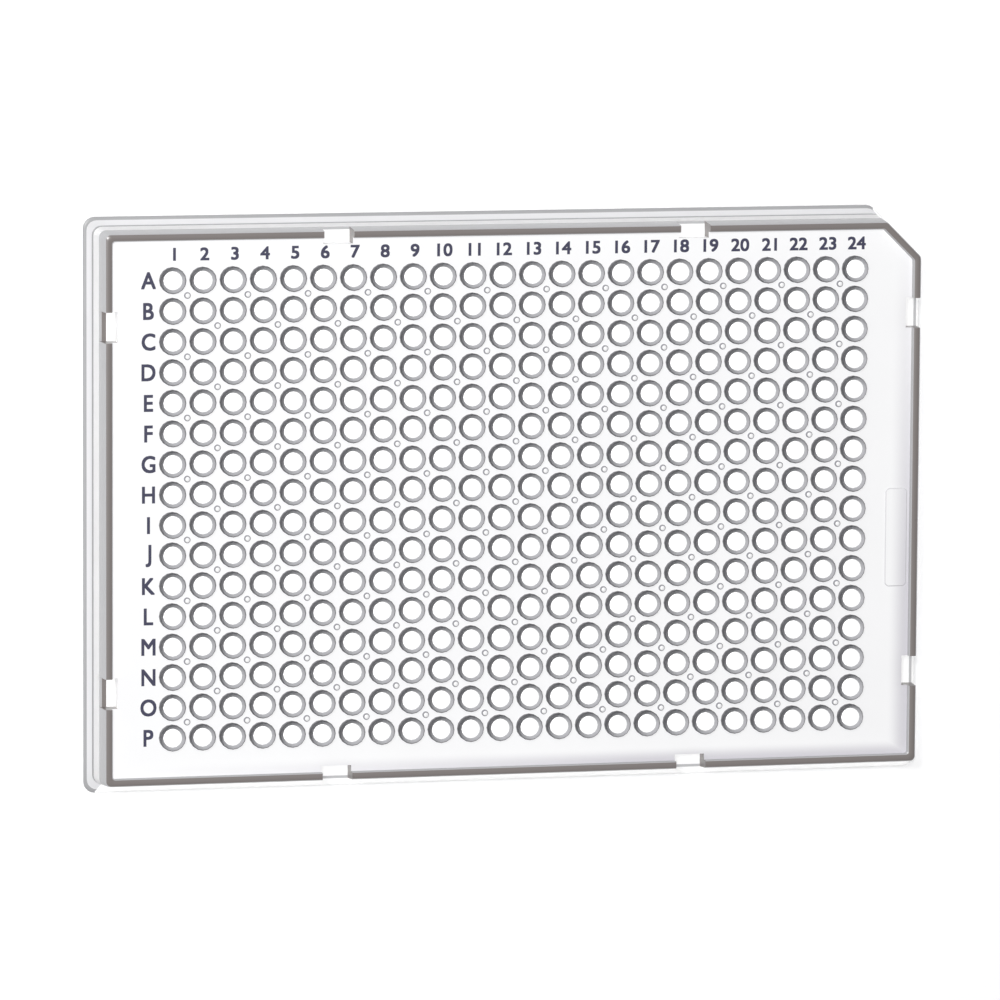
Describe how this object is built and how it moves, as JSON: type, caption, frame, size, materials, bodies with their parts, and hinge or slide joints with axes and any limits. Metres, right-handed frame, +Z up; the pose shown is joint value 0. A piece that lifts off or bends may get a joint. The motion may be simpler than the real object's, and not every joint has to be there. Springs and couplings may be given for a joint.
{
  "type": "well plate",
  "caption": "Clear skirted microplate: a grid of tapered wells with raised mouths in a thin deck, a rim with locating notches, a flange at its foot and one cut corner.",
  "frame": {"origin": "centre of the footprint, on the surface that the skirt stands on", "axes": "+X along the rows of wells, from column 1 to column 24; +Y across them towards row A; +Z up out of the wells' mouths; the cut corner is at +X +Y"},
  "size_m": [0.1278, 0.0854, 0.0097],
  "materials": {
    "clear_plastic": "clear injection-moulded plastic, polished mould on the deck and skirt"
  },
  "bodies": {
    "root": {"well_plate": "clear_plastic"}
  },
  "joints": []
}
